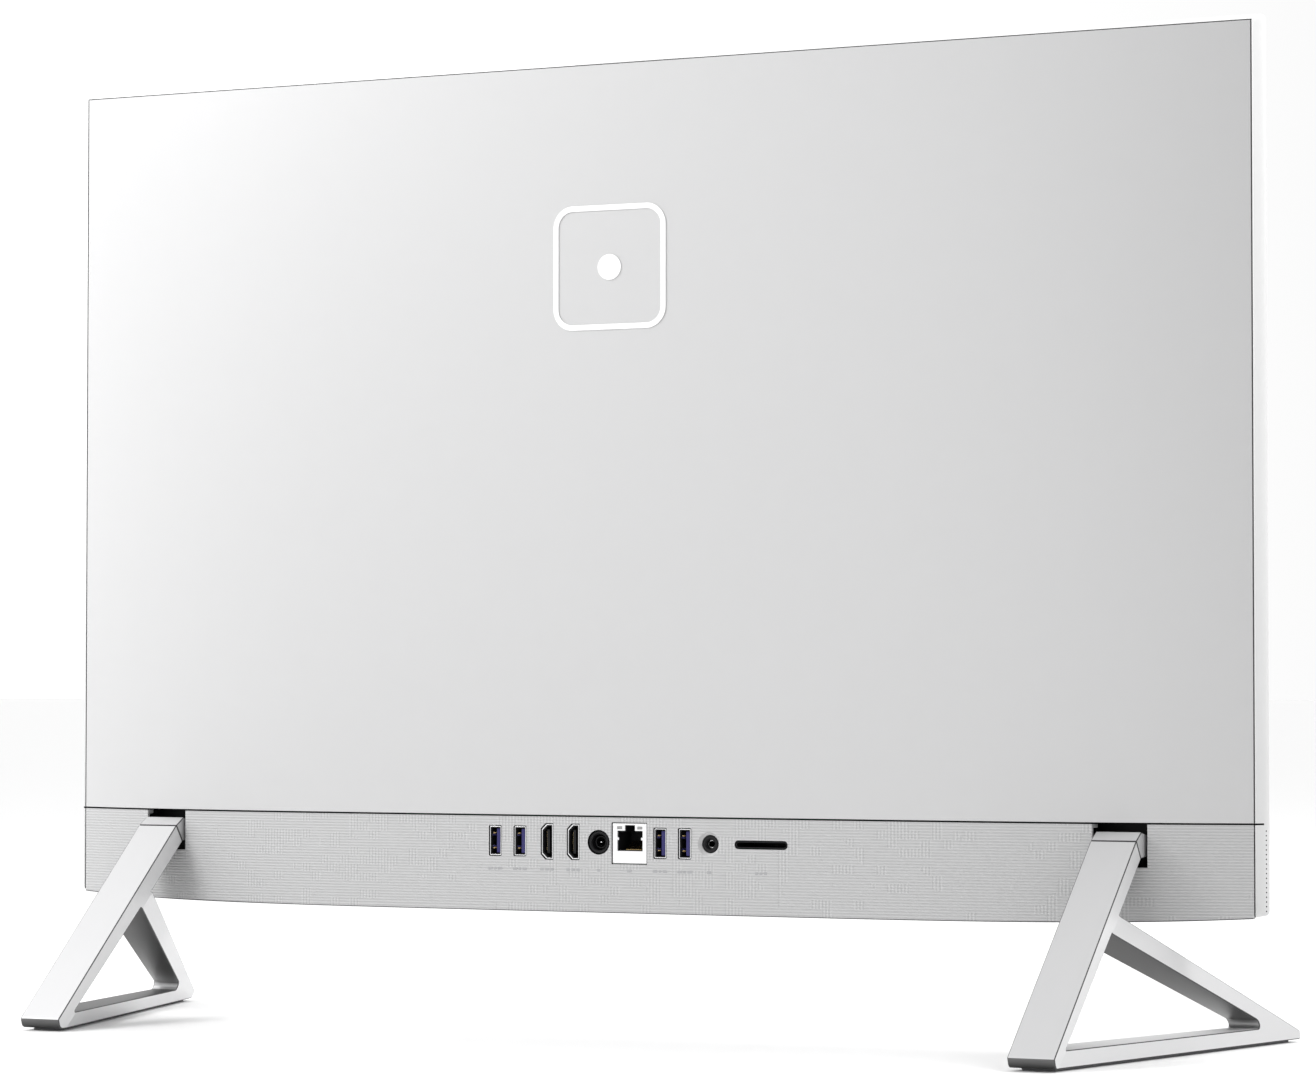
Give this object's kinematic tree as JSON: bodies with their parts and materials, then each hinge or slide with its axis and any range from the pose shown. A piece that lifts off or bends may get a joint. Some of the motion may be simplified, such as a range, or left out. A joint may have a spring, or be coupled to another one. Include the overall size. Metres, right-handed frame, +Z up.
{
  "type": "all in one pc",
  "caption": "All-in-one desktop computer: slim screen with a bulged rear cover, textured chin with a port row, on two open triangular legs.",
  "frame": {"origin": "on the desk, below the middle of the whole object's bounding box", "axes": "+Z up, the screen faces -Y, the ports face +Y, +X is the user's right"},
  "size_m": [0.6136, 0.1996, 0.4555],
  "materials": {
    "silver_plastic": "satin",
    "textured_plastic": "fine woven texture",
    "aluminium": "fine satin",
    "steel": "satin",
    "dark_plastic": "satin",
    "dark_glass": "gloss",
    "grey_rubber": "matt",
    "green_board": "satin",
    "copper": "satin",
    "white_paint": "satin"
  },
  "bodies": {
    "stand": {"leg_left": "aluminium", "leg_right": "aluminium", "foot_pad_left": "grey_rubber", "foot_pad_right": "grey_rubber", "hinge_block_left": "aluminium", "hinge_block_right": "aluminium", "hinge_shaft_left": "steel", "hinge_shaft_right": "steel"},
    "display": {"audio_jack": "dark_plastic", "blower_housing": "dark_plastic", "board_screw_1": "steel", "board_screw_2": "steel", "board_screw_3": "steel", "board_screw_4": "steel", "camera_guide": "steel", "chassis_plate": "steel", "cover_glass": "dark_glass", "display_panel": "dark_plastic", "emblem_dot": "white_paint", "emblem_outline": "white_paint", "ethernet_port": "steel", "front_frame": "silver_plastic", "hdmi_port_1": "steel", "hdmi_port_2": "steel", "heat_pipe": "copper", "heat_sink": "aluminium", "heat_sink_fins": "aluminium", "hinge_bracket_left": "steel", "hinge_bracket_right": "steel", "lower_rear_cover": "textured_plastic", "memory_module_1": "dark_plastic", "memory_module_2": "dark_plastic", "motherboard": "green_board", "power_inlet": "dark_plastic", "processor": "steel", "rear_cover": "silver_plastic", "sd_card_slot": "dark_plastic", "speaker_grille": "textured_plastic", "speaker_left": "dark_plastic", "speaker_right": "dark_plastic", "ssd": "dark_plastic", "usb_port_1": "steel", "usb_port_2": "steel", "usb_port_3": "steel", "usb_port_4": "steel", "wireless_card": "steel"},
    "camera": {"camera_module": "dark_plastic"},
    "power_button": {"power_button": "aluminium"},
    "impeller": {"blower_impeller": "dark_plastic"}
  },
  "joints": [
    {"name": "display_tilt", "type": "hinge", "parent": "stand", "child": "display", "pos_m": [0, -0.0203, 0.09], "axis": [-1, 0, 0], "range_deg": [-5, 15]},
    {"name": "camera_slide", "type": "slide", "parent": "display", "child": "camera", "axis": [0, 0, 1], "range_m": [0, 0.018]},
    {"name": "power_button_press", "type": "slide", "parent": "display", "child": "power_button", "axis": [0, 0, 1], "range_m": [0, 0.0006], "stiffness_N_per_m": 1500},
    {"name": "blower_spin", "type": "hinge", "parent": "display", "child": "impeller", "pos_m": [0.08, -0.0157, 0.285], "axis": [0, 1, 0], "continuous": true}
  ]
}
